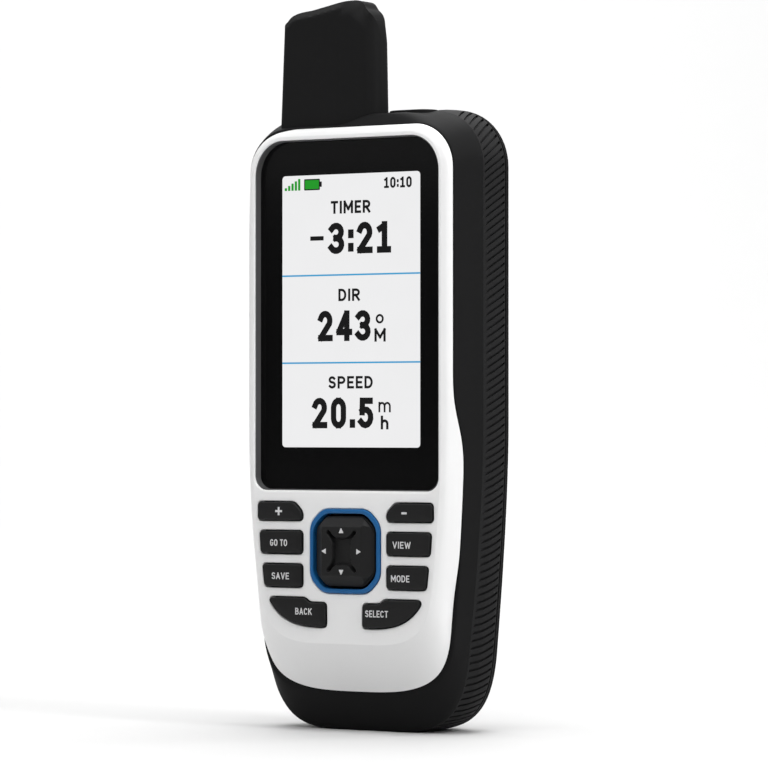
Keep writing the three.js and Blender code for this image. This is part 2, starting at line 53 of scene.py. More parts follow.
CASE = "case"

# ---------- driving dimensions
case_corner, rocker_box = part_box("main_housing")[1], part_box("rocker_key")
CASE_HALF, CASE_TOP = case_corner.x / MM, case_corner.z / MM
ANTENNA_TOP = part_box("antenna_housing")[1].z / MM
ROCKER_FRONT = (rocker_box[0].y - SCREEN_Y) / MM
ROCKER_Z = (rocker_box[0].z + rocker_box[1].z) / 2 / MM
PANEL_FRONT, PANEL_BACK = -2.4, -0.4
SEAM_HIGH, SEAM_LOW = -0.3, 2.8
SEAM_SWEEP = (62, 86)
SEAM_GAP = 0.3
REAR_SEAM = 17
CASE_BACK = 31
WALL = 3.9                              # inset of the case's inner face at the rear seam
GRIP_FRONT, GRIP_MIDDLE, GRIP_BACK = 8, 12, 16
GRIP_TOP_X, GRIP_FOOT_X = 21, 12
KEY_TOP = -3.1

# Case sections: depth, half width, half width and height where the flank turns into the
# bottom corner, bottom, drop of the top below the case's, radius of the top corners.
SECTIONS = np.array([
    [-2.4, 27.2, 24.2, 32.6, 21.3, 6.1, 9.1],
    [-1.9, 28.4, 25.3, 31.5, 19.8, 4.9, 10],
    [0, 29.5, 26.6, 26, 15, 4, 10.7],
    [2.8, 30.6, 27.6, 23.5, 9.5, 2.7, 11.2],
    [5.5, 31.6, 28.2, 22, 3.2, 1.5, 12.1],
    [7, 32.2, 28.6, 21.5, 0, 1, 12.8],
    [8.5, 32.8, 29, 21, 0, 0.6, 13.4],
    [11.5, 33.6, 30.2, 20.5, 0, 0.1, 13.8],
    [15.3, CASE_HALF, 30.7, 20, 0, 0, 14],
    [17, CASE_HALF, 30.7, 20, 0, 0, 14],
    [19, 32.9, 29.8, 20, 0, 0.4, 13.9],
    [22.8, 30.1, 27.2, 20.8, 0, 2.1, 13.4],
    [25.5, 27.9, 25, 22, 3.2, 4, 13],
    [28.6, 24.2, 21.6, 24, 6.8, 7.4, 12],
    [30.4, 20, 18, 27, 10.8, 11.2, 10.5],
    [CASE_BACK, 16.5, 15, 30, 14.5, 15, 9],
])
SECTIONS[:, 5] = CASE_TOP - SECTIONS[:, 5]
FLANK_KNEE, FLANK_TOP = 53, 74


def place(points):
    points = np.asarray(points, float)
    return points * MM + np.array([0, SCREEN_Y, 0])


# ---------- curves and outlines
def monotone(xs, ys, x):
    """Smooth curve through (xs, ys) that never overshoots its points."""
    h, d = np.diff(xs), np.diff(ys) / np.diff(xs)
    slope = np.zeros(len(xs))
    for k in range(1, len(xs) - 1):
        if d[k - 1] * d[k] > 0:
            w1, w2 = 2 * h[k] + h[k - 1], h[k] + 2 * h[k - 1]
            slope[k] = (w1 + w2) / (w1 / d[k - 1] + w2 / d[k])
    slope[0], slope[-1] = d[0], d[-1]
    k = np.clip(np.searchsorted(xs, x) - 1, 0, len(h) - 1)
    t = (x - xs[k]) / h[k]
    a, b = (1 + 2 * t) * (1 - t) ** 2, t * (1 - t) ** 2
    c, e = t * t * (3 - 2 * t), t * t * (t - 1)
    return a * ys[k] + b * h[k] * slope[k] + c * ys[k + 1] + e * h[k] * slope[k + 1]


def smooth(edge0, edge1, x):
    t = np.clip((x - edge0) / (edge1 - edge0), 0, 1)
    return t * t * (3 - 2 * t)


def bezier(points, count):
    t = np.linspace(0, 1, count)[:, None]
    rows = [np.array(p, float)[None, :] for p in points]
    while len(rows) > 1:
        rows = [a * (1 - t) + b * t for a, b in zip(rows, rows[1:])]
    return rows[0]


def arc(cx, cz, rx, rz, start, end, count):
    a = np.radians(np.linspace(start, end, count))
    return np.stack([cx + rx * np.cos(a), cz + rz * np.sin(a)], 1)


def distances(path):
    """How far along the path each of its points is."""
    steps = np.linalg.norm(np.diff(path, axis=0), axis=1)
    return np.concatenate([[0], np.cumsum(steps)])


def resample(path, count):
    """The same path with points at even distances."""
    along = distances(path)
    even = np.linspace(0, along[-1], count)
    return np.stack([np.interp(even, along, path[:, k]) for k in range(2)], 1)


def sides(outline, closed=True):
    """The two ends of each side of a closed outline, or of an open path."""
    return zip(outline, np.roll(outline, -1, axis=0) if closed else outline[1:])


def densify(outline, longest, closed=True):
    """The outline with its long sides cut into shorter ones."""
    rows = []
    for a, b in sides(outline, closed):
        pieces = max(1, math.ceil(np.linalg.norm(b - a) / longest))
        rows.extend(a + (b - a) * k / pieces for k in range(pieces))
    return np.array(rows if closed else [*rows, outline[-1]])


def outward(outline):
    """Unit normals of a closed counter-clockwise outline, scaled for an even offset."""
    edges = np.roll(outline, -1, axis=0) - outline
    normal = np.stack([edges[:, 1], -edges[:, 0]], 1)
    normal /= np.maximum(np.linalg.norm(normal, axis=1), 1e-9)[:, None]
    before = np.roll(normal, 1, axis=0)
    return (normal + before) / (1 + np.sum(normal * before, 1))[:, None]


def grow(outline, distance):
    return outline + outward(outline) * distance


def rounded(corners, radius, steps=7):
    """A counter-clockwise polygon with rounded corners."""
    corners = np.array(corners, float)
    rows = []
    for before, here, after in zip(np.roll(corners, 1, 0), corners, np.roll(corners, -1, 0)):
        a, b = before - here, after - here
        la, lb = np.linalg.norm(a), np.linalg.norm(b)
        start = here + a * min(radius / la, 0.45)
        end = here + b * min(radius / lb, 0.45)
        rows.append(bezier([start, here * 0.9 + (start + end) * 0.05, end], steps))
    return np.concatenate(rows)


def rectangle(x0, x1, z0, z1, r, steps=7):
    corners = ((x1 - r, z0 + r), (x1 - r, z1 - r), (x0 + r, z1 - r), (x0 + r, z0 + r))
    return np.concatenate([arc(x, z, r, r, 90 * k - 90, 90 * k, steps)
                           for k, (x, z) in enumerate(corners)])


def circle(x, z, radius, count=40):
    return arc(x, z, radius, radius, 0, 360 - 360 / count, count)


def mirror(outline):
    return (np.asarray(outline, float) * [-1, 1])[::-1]


def turned(points, degrees):
    a = math.radians(degrees)
    spin = np.array([[math.cos(a), -math.sin(a)], [math.sin(a), math.cos(a)]])
    return np.array(points) @ spin.T


def inside(points, outline):
    """Which points lie inside the closed outline."""
    x, z = points[:, 0, None], points[:, 1, None]
    a, b = outline, np.roll(outline, -1, axis=0)
    crosses = (a[:, 1] > z) != (b[:, 1] > z)
    rise = np.where(np.abs(b[:, 1] - a[:, 1]) < 1e-12, 1e-12, b[:, 1] - a[:, 1])
    at = a[:, 0] + (z - a[:, 1]) * (b[:, 0] - a[:, 0]) / rise
    return (np.sum(crosses & (x < at), 1) % 2) == 1


def edge_distance(points, outline, closed=True):
    """Distance from each point to the outline."""
    best = np.full(len(points), 1e9)
    for a, b in sides(outline, closed):
        ab = b - a
        t = np.clip((points - a) @ ab / max(ab @ ab, 1e-12), 0, 1)
        best = np.minimum(best, np.linalg.norm(points - a - t[:, None] * ab, axis=1))
    return best


# ---------- the case's skin
def half_outline(section):
    half, foot, foot_top, bottom, top, corner = section
    lift = 0.275 * (foot_top - bottom)
    return np.concatenate([
        [[0, bottom]],
        bezier([(foot / 3, bottom), (0.78 * foot, bottom), (0.961 * foot, bottom + lift),
                (foot, foot_top)], 40),
        bezier([(foot, foot_top), (half - 0.1, FLANK_KNEE), (half, FLANK_TOP)], 24)[1:],
        arc(half - corner, top - corner, corner, corner, 0, 90, 40),
        [[0, top]]])


SHOULDER_LOW, SHOULDER_TOP, SHOULDER_REACH = 146, 149.1, 3.2


def shoulder_rise(x, depth, z):
    """Extra height of the raised shoulder beside the antenna, over a point of the case top."""
    crest = SHOULDER_LOW + (SHOULDER_TOP - SHOULDER_LOW) * (
        1 - np.clip(1 - depth / SHOULDER_REACH, 0, 1) ** 2)
    share = smooth(-5, 4.5, x) * (1 - smooth(13, 23, x)) * (1 - smooth(9, 13, depth))
    return share * np.maximum(0, crest - z) * (z > 140) * (depth > 0)


class CaseSkin:
    """Closed rings of the case at any depth, from the bottom centre round to the right."""

    def __init__(self, half_count):
        self.depths = np.linspace(SECTIONS[0, 0], CASE_BACK, 168)
        rings = []
        for depth in self.depths:
            section = [monotone(SECTIONS[:, 0], SECTIONS[:, k], depth) for k in range(1, 7)]
            right = resample(half_outline(section), half_count)
            ring = np.concatenate([right, mirror(right)[1:-1]])
            ring[:, 1] += shoulder_rise(ring[:, 0], depth, ring[:, 1])
            rings.append(ring)
        self.rings = np.array(rings)
        self.count = self.rings.shape[1]

    def ring(self, depth, inset=0):
        """Points of one ring. Depth and inset may differ from point to point."""
        depth = np.broadcast_to(np.asarray(depth, float), (self.count,))
        step = self.depths[1] - self.depths[0]
        place_in = np.clip((depth - self.depths[0]) / step, 0, len(self.depths) - 1.001)
        low = place_in.astype(int)
        t = (place_in - low)[:, None]
        every = np.arange(self.count)
        flat = self.rings[low, every] * (1 - t) + self.rings[low + 1, every] * t
        flat = flat - outward(flat) * np.broadcast_to(inset, (self.count,))[:, None]
        return np.stack([flat[:, 0], depth, flat[:, 1]], 1)

    def follow(self, depth_of_z, inset=0):
        """A ring whose depth depends on its own height."""
        depth = np.zeros(self.count)
        for _ in range(5):
            depth = depth_of_z(self.ring(depth, inset)[:, 2])
        return self.ring(depth, inset)


def seam_depth(z):
    """Depth of the seam between bezel and housing at height z."""
    t = np.linspace(0, 1, 60)
    low, high = SEAM_SWEEP
    middle = (low + high) / 2
    heights = bezier([(low,), (middle,), (middle,), (high,)], 60)[:, 0]
    return SEAM_LOW + (SEAM_HIGH - SEAM_LOW) * np.interp(z, heights, smooth(0, 1, t))


# ---------- mesh building
class Shell:
    """A mesh put together from loops of points."""

    def __init__(self):
        self.points = []
        self.faces = []

    def loop(self, points):
        start = len(self.points)
        self.points.extend(tuple(p) for p in points)
        return list(range(start, len(self.points)))

    def flat(self, outline, depth):
        """A loop from an outline in x and z, at one depth or at each point's own."""
        depth = np.broadcast_to(depth, (len(outline),))
        return self.loop(np.stack([outline[:, 0], depth, outline[:, 1]], 1))

    def level(self, outline, z):
        """A loop from an outline in x and depth, at one height."""
        return self.loop(np.column_stack([outline, np.full(len(outline), z)]))

    def skin(self, loops, closed=False):
        pairs = list(zip(loops, loops[1:]))
        if closed:
            pairs.append((loops[-1], loops[0]))
        for a, b in pairs:
            for i in range(len(a)):
                j = (i + 1) % len(a)
                self.faces.append((a[i], a[j], b[j], b[i]))

    def tube(self, loops):
        """Joins loops and closes each end with one face."""
        self.skin(loops)
        self.faces += [tuple(loops[0]), tuple(reversed(loops[-1]))]

    def wall(self, outline, steps, side):
        """Joined copies of an outline at (inset, depth) steps: gives the first and the last."""
        loops = [self.flat(grow(outline, side * inset), depth) for inset, depth in steps]
        self.skin(loops)
        return loops[0], loops[-1]

    def cap(self, outer, holes=(), height=None, spacing=None):
        """Fills a loop round its holes. With a spacing, a loop without holes gets inner points
        that follow height(points)."""
        names, edges = [], []
        for loop in [outer, *holes]:
            start, n = len(names), len(loop)
            edges.extend((start + k, start + (k + 1) % n) for k in range(n))
            names.extend(loop)
        flat = np.array([self.points[i] for i in names])[:, [0, 2]]
        if spacing:
            low, high = flat.min(0), flat.max(0)
            steps = [np.arange(low[k], high[k], spacing) + spacing / 2 for k in range(2)]
            grid = np.stack(np.meshgrid(*steps), -1).reshape(-1, 2)
            grid = grid[inside(grid, flat)]
            grid = grid[edge_distance(grid, flat) > spacing * 0.45]
            names.extend(self.flat(grid, height(grid)))
            flat = np.concatenate([flat, grid])
        _, _, faces, sources, _, _ = geometry.delaunay_2d_cdt([tuple(p) for p in flat], edges,
                                                              [], 0, 1e-6)
        triangles = [tuple(sources[v][0] for v in face) for face in faces]
        # The fill spreads from the inner side of the outlines, and stops at them.
        stops = {*edges[:len(outer)], *((b, a) for a, b in edges[len(outer):])}
        beside = {side: tri for tri in triangles for side in zip(tri, tri[1:] + tri[:1])}
        waiting, kept = [beside[side] for side in stops if side in beside], set()
        while waiting:
            tri = waiting.pop()
            if tri not in kept:
                kept.add(tri)
                waiting.extend(beside[b, a] for a, b in zip(tri, tri[1:] + tri[:1])
                               if (a, b) not in stops and (b, a) in beside)
        self.faces.extend(tuple(names[v] for v in tri) for tri in sorted(kept))

    def build(self, name, sharp=35):
        mesh = bpy.data.meshes.new(name)
        mesh.from_pydata([tuple(p) for p in place(self.points)], [], self.faces)
        return finish_mesh(name, mesh, sharp)


def solid(name, loops):
    """A closed solid through loops of points, filled at both ends."""
    shell = Shell()
    rings = [shell.loop(points) for points in loops]
    shell.skin(rings)
    shell.cap(rings[0])
    shell.cap(rings[-1])
    return shell.build(name)


def add_object(name, data):
    obj = bpy.data.objects.new(name, data)
    bpy.context.scene.collection.objects.link(obj)
    return obj


def finish_mesh(name, mesh, sharp=35):
    """Makes an object of a closed mesh, with its faces out and its creases sharp."""
    work = bmesh.new()
    work.from_mesh(mesh)
    bmesh.ops.remove_doubles(work, verts=work.verts, dist=1e-7)
    bmesh.ops.recalc_face_normals(work, faces=work.faces)
    work.to_mesh(mesh)
    work.free()
    mesh.shade_smooth()
    mesh.set_sharp_from_angle(angle=math.radians(sharp))
    return add_object(name, mesh)


def cut(obj, tools, operation="DIFFERENCE", sharp=35):
    """Cuts or joins obj with other closed objects, which are used up."""
    for tool in tools:
        modifier = obj.modifiers.new("cut", "BOOLEAN")
        modifier.operation = operation
        modifier.solver = "MANIFOLD"
        modifier.object = tool
    evaluated = obj.evaluated_get(bpy.context.evaluated_depsgraph_get())
    mesh = bpy.data.meshes.new_from_object(evaluated)
    name = obj.name
    for old in [obj, *tools]:
        bpy.data.objects.remove(old)
    return finish_mesh(name, mesh, sharp)


def even_normals(obj):
    """Lets the large faces set the shading, so that flat faces stay flat beside small bevels."""
    modifier = obj.modifiers.new("even", "WEIGHTED_NORMAL")
    modifier.keep_sharp = True
    modifier.weight = 100
    return obj


def prism(name, outline, profile, holes=(), height=None, spacing=None, sharp=35):
    """A plate from (inset, depth) steps, front face first. A hole has its own profile."""
    shell = Shell()
    front, back = shell.wall(outline, profile, -1)
    ends = [shell.wall(hole, steps, 1) for hole, steps in holes]
    shell.cap(front, [first for first, _ in ends], height, spacing)
    shell.cap(back, [last for _, last in ends])
    return shell.build(name, sharp)


def column(name, outline, profile):
    """An upright bar: outline in x and depth, profile as (inset, z) steps from the top down."""
    shell = Shell()
    shell.tube([shell.level(grow(outline, -inset), z) for inset, z in profile])
    return shell.build(name)


def round_edge(radius, front, steps=5):
    """(inset, depth) steps of a quarter-round edge that starts on a front face."""
    return [(radius * (1 - math.sin(a)), front + radius * (1 - math.cos(a)))
            for a in np.linspace(0, math.pi / 2, steps)]


# ---------- materials
def put(node, **values):
    """Sets a node's own sockets. To_Min stands for the socket To Min."""
    for socket, value in values.items():
        node.inputs[socket.replace("_", " ")].default_value = value
    return node


def new_material(name, color, roughness, metallic=0, specular=0.5):
    material = bpy.data.materials.new(name)
    material.use_nodes = True
    shader = put(material.node_tree.nodes["Principled BSDF"], Base_Color=(*color, 1),
                 Roughness=roughness, Metallic=metallic, Specular_IOR_Level=specular)
    return material, shader


def noise(tree, vector, size, detail):
    """Noise with grains of a size in millimetres."""
    node = put(tree.nodes.new("ShaderNodeTexNoise"), Scale=1 / (size * MM), Detail=detail)
    tree.links.new(vector, node.inputs["Vector"])
    return node.outputs["Fac"]


def tint(tree, factor, low, high, socket):
    """Feeds the socket a colour that drifts between low and high."""
    mix = tree.nodes.new("ShaderNodeMix")
    mix.data_type = "RGBA"
    put(mix, A=(*low, 1), B=(*high, 1))
    tree.links.new(factor, mix.inputs["Factor"])
    tree.links.new(mix.outputs["Result"], socket)


def surface(name, color, roughness, grain=0.25, bump=0.1, mottle=0.06, spread=0.06,
            metallic=0, specular=0.5, stretch=(1, 1, 1)):
    """Moulded finish: fine grain in the surface, and slight drifts of colour and gloss.
    grain is the size of the texture's grains in millimetres."""
    material, shader = new_material(name, color, roughness, metallic, specular)
    tree = material.node_tree
    coords = tree.nodes.new("ShaderNodeTexCoord")
    mapping = put(tree.nodes.new("ShaderNodeMapping"), Scale=stretch)
    tree.links.new(coords.outputs["Object"], mapping.inputs["Vector"])
    fine = noise(tree, mapping.outputs["Vector"], grain, 3)
    broad = noise(tree, mapping.outputs["Vector"], 14, 2)
    tint(tree, broad, [c * (1 - mottle) for c in color],
         [min(1, c * (1 + mottle)) for c in color], shader.inputs["Base Color"])
    gloss = put(tree.nodes.new("ShaderNodeMapRange"), To_Min=max(0.02, roughness - spread),
                To_Max=min(1, roughness + spread))
    tree.links.new(fine, gloss.inputs["Value"])
    tree.links.new(gloss.outputs["Result"], shader.inputs["Roughness"])
    relief = put(tree.nodes.new("ShaderNodeBump"), Strength=bump, Distance=grain * MM * 0.4)
    tree.links.new(fine, relief.inputs["Height"])
    tree.links.new(relief.outputs["Normal"], shader.inputs["Normal"])
    return material


def lit(name, color):
    """A lit picture element of the screen, very slightly uneven."""
    material, shader = new_material(name, [c * 0.05 for c in color], 0.35, specular=0.15)
    tree = material.node_tree
    coords = tree.nodes.new("ShaderNodeTexCoord")
    uneven = noise(tree, coords.outputs["Object"], 9, 2)
    tint(tree, uneven, [c * 0.97 for c in color], color, shader.inputs["Emission Color"])
    put(shader, Emission_Strength=1)
    return material


WHITE = surface("white_plastic", (0.83, 0.83, 0.83), 0.38, grain=0.3, bump=0.03, mottle=0.012)
BLACK = surface("black_plastic", (0.0105, 0.0105, 0.0108), 0.52, grain=0.22, bump=0.12,
                specular=0.05)
RUBBER = surface("grip_rubber", (0.012, 0.012, 0.0124), 0.6, grain=0.2, bump=0.15, mottle=0.1,
                 specular=0.13)
KEY = surface("key_rubber", (0.0055, 0.0055, 0.0058), 0.5, grain=0.16, bump=0.1, specular=0.25)
BLUE = surface("blue_trim", (0.008, 0.105, 0.29), 0.35, grain=0.3, bump=0.03, mottle=0.04,
               specular=0.3)
GLASS = surface("window_glass", (0.0035, 0.0035, 0.0037), 0.12, grain=2, bump=0, mottle=0.2,
                spread=0.015, specular=0.25)
LINER = surface("window_liner", (0.08, 0.08, 0.082), 0.5, grain=0.2, bump=0.08)
INK = surface("legend_ink", (0.62, 0.62, 0.63), 0.6, grain=0.1, bump=0.05, mottle=0.05)
STEEL = surface("steel", (0.5, 0.5, 0.51), 0.32, grain=0.1, bump=0.08, metallic=1,
                stretch=(1, 1, 12))
ZINC = surface("screw_steel", (0.3, 0.3, 0.31), 0.35, grain=0.12, bump=0.1, metallic=1)
LABEL = surface("label_aluminium", (0.16, 0.16, 0.165), 0.42, grain=0.12, bump=0.1,
                metallic=0.8, stretch=(1, 1, 8))
SEAL = surface("seal_rubber", (0.02, 0.02, 0.021), 0.7, grain=0.2, bump=0.1)
BOARD = surface("circuit_board", (0.02, 0.12, 0.05), 0.4, grain=0.5, bump=0.1, mottle=0.2)
CELL = surface("battery_wrap", (0.05, 0.13, 0.27), 0.35, grain=1.5, bump=0.05, mottle=0.1)
CERAMIC = surface("antenna_ceramic", (0.6, 0.54, 0.44), 0.6, grain=0.3, bump=0.15)


def wear(obj, material, replaces=None, body=CASE):
    """Gives a piece its material, the CAD node it stands for and its body."""
    obj.data.materials.clear()
    obj.data.materials.append(material)
    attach(obj, body)
    if replaces:
        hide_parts(replaces)
    return obj


# ---------- camera
def add_camera():
    turn, tilt = math.radians(33), math.radians(0.59)
    distance, height, sideways = 960, 74, 8.05
    data = bpy.data.cameras.new("camera")
    data.sensor_width = 36
    data.lens = 186.75
    camera = add_object("camera", data)
    camera.location = place([math.cos(turn) * sideways + math.sin(turn) * distance,
                             math.sin(turn) * sideways - math.cos(turn) * distance, height])
    camera.rotation_euler = (math.pi / 2 + tilt, 0, turn)
    bpy.context.scene.camera = camera


add_camera()

# ---------- front bezel
SKIN = CaseSkin(150)


def window_outline(margin, sill=None):
    half, high = 26.5 + margin, 143.1 + margin
    low = 58.2 - (margin if sill is None else sill)
    rx, rz, r = 8 + margin, 8.6 + margin, 3.5 + margin
    return np.concatenate([
        arc(half - r, low + r, r, r, -90, 0, 12), arc(half - rx, high - rz, rx, rz, 0, 90, 28),
        arc(rx - half, high - rz, rx, rz, 90, 180, 28), arc(r - half, low + r, r, r, 180, 270, 12)])


KEY_INSET, KEY_RADIUS = 0.2, 0.9
FINE = 0.8                              # longest side of the bezel's cut-outs
ZOOM = [(25.35, 50.75), (25.3, 55.5), (14.4, 55.5), (12, 53.1), (12, 50.75), (14.2, 50.75)]
UPPER = [(12, 42.7), (24.45, 42.7), (24.85, 48.5), (12, 48.5)]
LOWER = [(12, 34.6), (23.35, 34.6), (24.05, 40.45), (12, 40.45)]


def foot_outline():
    """The lowest key: a long curve on its outer lower side, and five straight sides."""
    curve = bezier([(5.3, 25.35), (12.5, 25.2), (18, 25.7), (21.8, 31.4)], 14)
    return rounded([*curve, (21.3, 32.2), (11.3, 32.2), (10.2, 31.1), (5.35, 31.05)], 0.8, 5)


def key_outlines():
    zoom, upper, lower = (rounded(grow(np.array(corners), -KEY_INSET), KEY_RADIUS)
                          for corners in (ZOOM, UPPER, LOWER))
    pairs = [("zoom_out_key", "zoom_in_key", zoom), ("view_key", "goto_key", upper),
             ("mode_key", "save_key", lower), ("select_key", "back_key", foot_outline())]
    both = {right: outline for right, _, outline in pairs}
    both.update((left, mirror(outline)) for _, left, outline in pairs)
    return {name: densify(outline - [KEY_INSET, 0], FINE) for name, outline in both.items()}


def octagon(half, half_z, chamfer):
    c, z = half - chamfer, half_z - chamfer
    right = np.array([(c, -half_z), (half, -z), (half, z), (c, half_z)])
    return np.concatenate([right, right[::-1] * [-1, 1]]) + [0, ROCKER_Z]


KEYS = key_outlines()
RING_OUTER = densify(rounded(octagon(10.1, 10.15, 3.6), 1.8), FINE)
RING_INNER = densify(rounded(octagon(9, 9.05, 3.2), 1.6), FINE)


def make_bezel():
    shell = Shell()
    x, _, z = SKIN.ring(0).T
    reveal = smooth(15, 24, -x) * smooth(120, 136, z)
    reveal += 0.8 * smooth(3, 22, np.abs(x)) * (1 - smooth(34, 48, z))
    loops = [SKIN.ring(PANEL_FRONT, 0.02)]
    for t in (0, 0.03, 0.08, 0.15, 0.24, 0.34, 0.45, 0.56, 0.67, 0.78, 0.88):
        loops.append(SKIN.follow(lambda z: PANEL_FRONT + (seam_depth(z) - PANEL_FRONT) * t,
                                 reveal * t))
    for back_off, inset in ((0.18, 0), (0.06, 0.06), (0, 0.2), (0, 0.7)):
        loops.append(SKIN.follow(lambda z: seam_depth(z) - back_off, inset + reveal))
    loops.append(SKIN.ring(PANEL_BACK, 2.3))
    rings = [shell.loop(points) for points in loops]
    shell.skin(rings)
    window_steps = ((0.12, 0.5, PANEL_FRONT), (0.04, 0.2, -2.3), (0, 0, -2),
                    (0, 0, PANEL_BACK))
    window = [shell.flat(window_outline(m, sill), d) for m, sill, d in window_steps]
    shell.skin(window)
    key_steps = ((0.5, PANEL_FRONT), (0.33, -2.34), (0.25, -2.2), (0.25, PANEL_BACK))
    ring_steps = ((0.4, PANEL_FRONT), (0.2, -2.33), (0.06, -2.1), (0.06, PANEL_BACK))
    ends = [(window[0], window[-1]), *(shell.wall(o, key_steps, 1) for o in KEYS.values()),
            shell.wall(RING_OUTER, ring_steps, 1)]
    shell.cap(rings[0], [front for front, _ in ends])
    shell.cap(rings[-1], [back for _, back in ends])
    bezel = even_normals(shell.build("bezel", 50))
    wear(bezel, WHITE, "front_bezel")
    front, back = -2.05, -0.06
    liner = prism("window_liner", window_outline(0), [(0.03, front), (0.03, back)],
                  [(window_outline(-0.25), [(0, front), (0, back)])])
    wear(liner, LINER)


# ---------- housing, cover and grips
def band_rings(skin, foot_x, top_x):
    """The run of ring points of the right-hand side between two places on the ends."""
    right = skin.ring(GRIP_MIDDLE)[:skin.count // 2 + 1]
    start = np.argmax(right[:, 0] > foot_x)
    end = np.argmax((right[:, 2] > FLANK_TOP) & (right[:, 0] < top_x))
    return slice(int(start), int(end))


def band_solid(name, skin, span, depths, outer, inner):
    """A closed band along the case side. outer and inner give insets for a depth."""
    shell = Shell()
    loops = []
    for depth in depths:
        top = skin.ring(depth, outer(depth))[span]
        under = skin.ring(depth, inner)[span][::-1]
        loops.append(shell.loop(np.concatenate([top, under])))
    shell.skin(loops)
    n = len(loops[0]) // 2
    for loop in (loops[0], loops[-1]):
        for i in range(n - 1):
            shell.faces.append((loop[i], loop[i + 1], loop[2 * n - 2 - i], loop[2 * n - 1 - i]))
    return shell.build(name)


def mirrored_copy(obj, name):
    mesh = obj.data.copy()
    mesh.transform(Matrix.Diagonal((-1, 1, 1, 1)))
    return finish_mesh(name, mesh)


POWER_X, POWER_DEPTH = 12.2, 9.4
POWER_HALF_X, POWER_HALF_Y = 5.2, 2.5
POWER_TOP = CASE_TOP - 0.15


def power_outline(margin):
    half_x, half_y = POWER_HALF_X + margin, POWER_HALF_Y + margin
    return rectangle(POWER_X - half_x, POWER_X + half_x, POWER_DEPTH - half_y,
                     POWER_DEPTH + half_y, half_y, 10)


def make_housing():
    shell = Shell()
    first = [(SEAM_GAP, 1.9), (SEAM_GAP, 0.2), (SEAM_GAP + 0.06, 0.06), (SEAM_GAP + 0.2, 0)]
    loops = [SKIN.follow(lambda z: seam_depth(z) + d, inset) for d, inset in first]
    start = SEAM_GAP + 0.2
    for t in np.linspace(0, 1, 9)[1:]:
        loops.append(SKIN.follow(lambda z: seam_depth(z) * (1 - t) + start * (1 - t) + 6.5 * t))
    loops += [SKIN.ring(depth) for depth in np.linspace(7.2, REAR_SEAM - 0.25, 15)]
    recess, front = 15.8, 5.5
    loops += [SKIN.ring(depth, inset) for depth, inset in (
        (REAR_SEAM - 0.14, 0.02), (REAR_SEAM - 0.04, 0.09), (REAR_SEAM, 0.25), (REAR_SEAM, 2.7),
        (recess, 2.7), (recess, WALL), (front, WALL), (front, 1.9))]
    shell.skin([shell.loop(points) for points in loops], closed=True)
    housing = shell.build("housing")
    span = band_rings(SKIN, GRIP_FOOT_X, GRIP_TOP_X)
    depths = np.linspace(GRIP_FRONT - 0.03, GRIP_BACK + 0.2, 12)
    slot = band_solid("slot_right", SKIN, span, depths, lambda d: -1, 2)
    tools = [slot, mirrored_copy(slot, "slot_left"),
             column("well", power_outline(1.3), [(0, CASE_TOP + 4), (0, 148.4)])]
    housing = cut(housing, tools, sharp=28)
    wear(housing, BLACK, "main_housing")


GRIP_SKIN = CaseSkin(460)
RIB_PITCH, RIB_LEAN, RIB_WIDTH, RIB_DEPTH = 1.83, 0.46, 0.62, 0.62


def grip_edge(depth):
    """The grip's rear edge is rounded off."""
    return 0.35 * (1 - smooth(0, 0.35, GRIP_BACK - depth)) ** 2


def rib_groove(place_along, along, rings, depths):
    """A slanting blade that cuts one groove into the grip, from nothing in front."""
    shell = Shell()
    loops = []
    for ring, depth in zip(rings, depths):
        at = place_along + RIB_LEAN * (depth - GRIP_MIDDLE)
        spots = [np.interp(at + d, along, np.arange(len(along))) for d in (-0.3, 0, 0.3)]
        before, middle, after = (np.stack([np.interp(i, np.arange(len(ring)), ring[:, k])
                                           for k in (0, 2)]) for i in spots)
        tangent = (after - before) / np.linalg.norm(after - before)
        normal = np.array([tangent[1], -tangent[0]])
        straight = smooth(20, 36, middle[1]) * (1 - smooth(116, 136, middle[1]))
        deep = normal * (RIB_DEPTH * smooth(8.1, 9.2 + 1.4 * straight, depth) - 0.06)
        half = tangent * (RIB_WIDTH / 2)
        loops.append(shell.flat(np.array([middle - half - deep, middle + half - deep,
                                          middle + half + normal, middle - half + normal]), depth))
    shell.tube(loops)
    return shell.build("groove")


def make_grips():
    span = band_rings(GRIP_SKIN, GRIP_FOOT_X + 0.15, GRIP_TOP_X + 0.15)
    depths = [*np.arange(GRIP_FRONT, 15.6, 0.4), 15.65, 15.78, 15.9, 15.96, GRIP_BACK]
    grip = band_solid("grip_right", GRIP_SKIN, span, depths, grip_edge, 1.8)
    along = distances(GRIP_SKIN.ring(GRIP_MIDDLE)[:, [0, 2]])
    steps = (GRIP_FRONT, 8.4, 8.9, 9.5, 10.3, 11.2, 12.2, 13.2, 14.2, 15, 15.5)
    rings = [GRIP_SKIN.ring(depth) for depth in steps]
    first, last = along[span][0] + 2.6, along[span][-1] - 1.4
    grooves = [rib_groove(at, along, rings, steps) for at in np.arange(first, last, RIB_PITCH)]
    grip = cut(grip, grooves, sharp=28)
    other = mirrored_copy(grip, "grip_left")
    wear(grip, RUBBER, "right_grip")
    wear(other, RUBBER, "left_grip")


def bore(name, x, z, radius, front, back):
    return prism(name, circle(x, z, radius), [(0, front), (0, back)])


SCREWS = [(25.6, 141.7), (27.5, 76), (21.6, 9.4)]
SCREW_PLACES = [(side * x, z) for x, z in SCREWS for side in (-1, 1)]
LABEL_BOX = (-12.3, 12.3, 35.7, 56.3)
PORT_BOX = (-7, 7.2, 19.7, 28.3)
VENT_Z = 126


